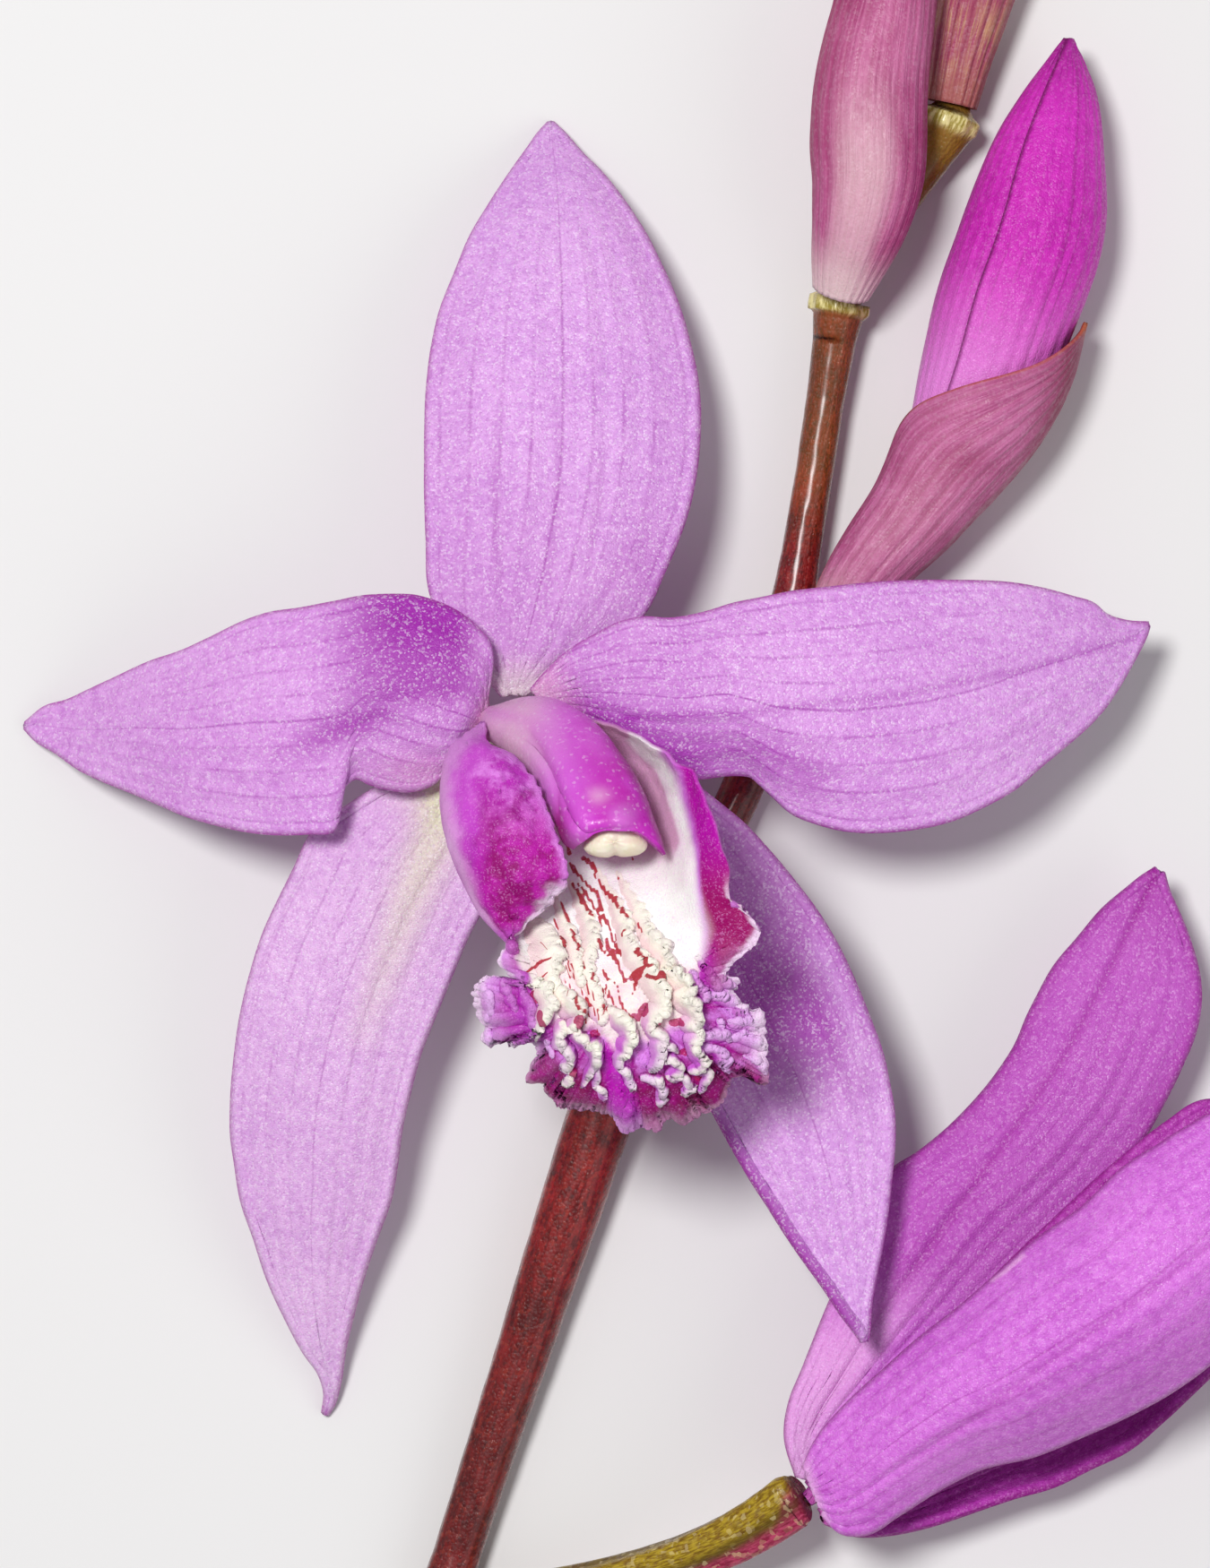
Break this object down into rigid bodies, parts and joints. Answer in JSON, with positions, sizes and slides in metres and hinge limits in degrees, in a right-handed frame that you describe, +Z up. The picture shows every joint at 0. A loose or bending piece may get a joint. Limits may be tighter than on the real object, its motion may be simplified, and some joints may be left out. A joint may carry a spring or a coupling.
{
  "type": "bletilla orchid flower stem",
  "caption": "Cut flowering stem of a pink bletilla orchid lying on a table, with an open flower, a half open flower, buds and bracts.",
  "frame": {"origin": "middle of the box that holds the stem, at the table's surface", "axes": "+X to the right of the open flower as an eye above it sees it, +Y along the stem towards its top, +Z up, the way the open flower faces"},
  "size_m": [0.0655, 0.1099, 0.0226],
  "materials": {
    "stalk": "waxy, glossy",
    "ovary": "waxy",
    "sepal": "soft, finely sparkling",
    "petal": "soft, finely sparkling",
    "lip": "soft, finely sparkling",
    "column": "waxy",
    "anther_cap": "waxy",
    "bud": "soft",
    "bract": "dry, thin",
    "pale_bract": "dry, thin, striped"
  },
  "bodies": {
    "root": {"flower_stalk": "stalk", "ovary_open_flower": "ovary", "dorsal_sepal": "sepal", "left_lateral_sepal": "sepal", "right_lateral_sepal": "sepal", "left_petal": "petal", "right_petal": "petal", "lip": "lip", "column": "column", "anther_cap": "anther_cap", "ovary_side_flower": "ovary", "side_flower_dorsal_sepal": "sepal", "side_flower_near_sepal": "sepal", "side_flower_far_sepal": "sepal", "side_flower_near_petal": "petal", "side_flower_far_petal": "petal", "side_flower_lip": "lip", "side_flower_column": "column", "large_bud_front_sepal": "bud", "large_bud_back_sepal": "bud", "large_bud_left_sepal": "bud", "large_bud_ovary": "ovary", "large_bud_bract": "bract", "upper_bract": "bract", "upper_bud": "bud", "top_bract": "pale_bract", "top_bud": "bud"}
  },
  "joints": []
}
